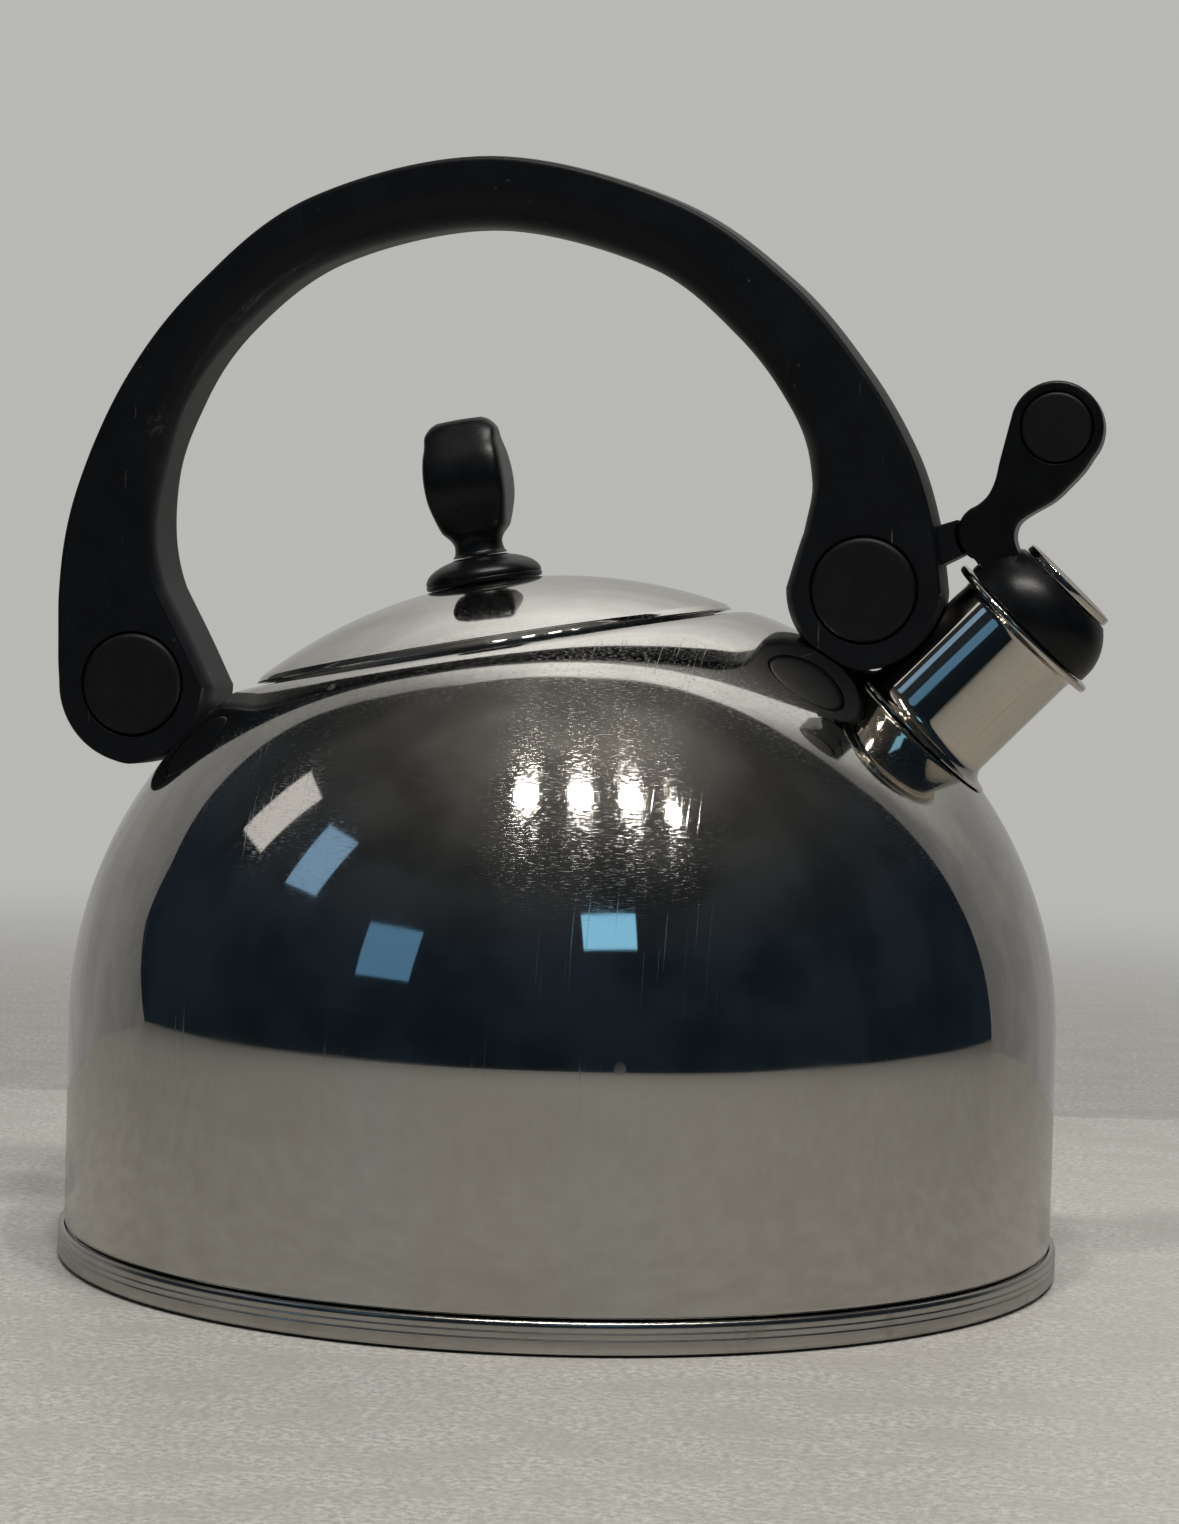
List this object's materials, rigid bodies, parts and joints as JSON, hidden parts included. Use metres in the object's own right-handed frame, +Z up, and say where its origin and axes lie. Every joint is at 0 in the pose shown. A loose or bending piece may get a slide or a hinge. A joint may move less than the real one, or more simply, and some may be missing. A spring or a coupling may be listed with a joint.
{
  "type": "stovetop whistling kettle",
  "caption": "Polished steel stovetop kettle with a dome body, lift-off lid, fixed black arch handle and a short spout closed by a spring whistle cap on a thumb lever.",
  "frame": {"origin": "centre of the base cap's flat underside, where the kettle stands", "axes": "+Z up, +X towards the spout, +Y to the far side seen from the front with the spout on the right"},
  "size_m": [0.2353, 0.2228, 0.2449],
  "materials": {
    "polished_steel": "mirror-polished stainless steel",
    "satin_steel": "satin stainless steel",
    "aluminium": "plain rolled disc",
    "black_bakelite": "satin black phenolic moulding",
    "zinc_steel": "zinc-plated steel",
    "spring_steel": "oiled spring wire"
  },
  "bodies": {
    "kettle": {"body_shell": "polished_steel", "floor_pan": "polished_steel", "heat_spreader": "aluminium", "base_cap": "satin_steel", "handle_grip": "black_bakelite", "rear_near_cap": "black_bakelite", "rear_far_cap": "black_bakelite", "front_near_cap": "black_bakelite", "front_far_cap": "black_bakelite", "rear_bracket": "satin_steel", "front_bracket": "satin_steel", "rear_bolt": "zinc_steel", "front_bolt": "zinc_steel", "rear_nut": "zinc_steel", "front_nut": "zinc_steel", "spout_tube": "polished_steel", "pivot_pin": "zinc_steel"},
    "lid": {"lid_shell": "polished_steel", "lid_skirt": "satin_steel", "lid_knob": "black_bakelite", "knob_collar": "black_bakelite", "knob_washer": "zinc_steel", "knob_screw": "zinc_steel"},
    "whistle": {"whistle_lever": "black_bakelite", "thumb_near_cap": "black_bakelite", "thumb_far_cap": "black_bakelite", "whistle_inner_plate": "satin_steel", "whistle_sleeve": "satin_steel", "whistle_outer_plate": "polished_steel", "return_spring": "spring_steel"}
  },
  "joints": [
    {"name": "lid_lift", "type": "slide", "parent": "kettle", "child": "lid", "axis": [-0.1857, 0, 0.9826], "range_m": [0, 0.036]},
    {"name": "whistle_hinge", "type": "hinge", "parent": "kettle", "child": "whistle", "pos_m": [0.0917, 0, 0.1643], "axis": [0, -1, 0], "range_deg": [0, 45], "stiffness_Nm_per_rad": 0.05, "springref_deg": -34.38}
  ]
}
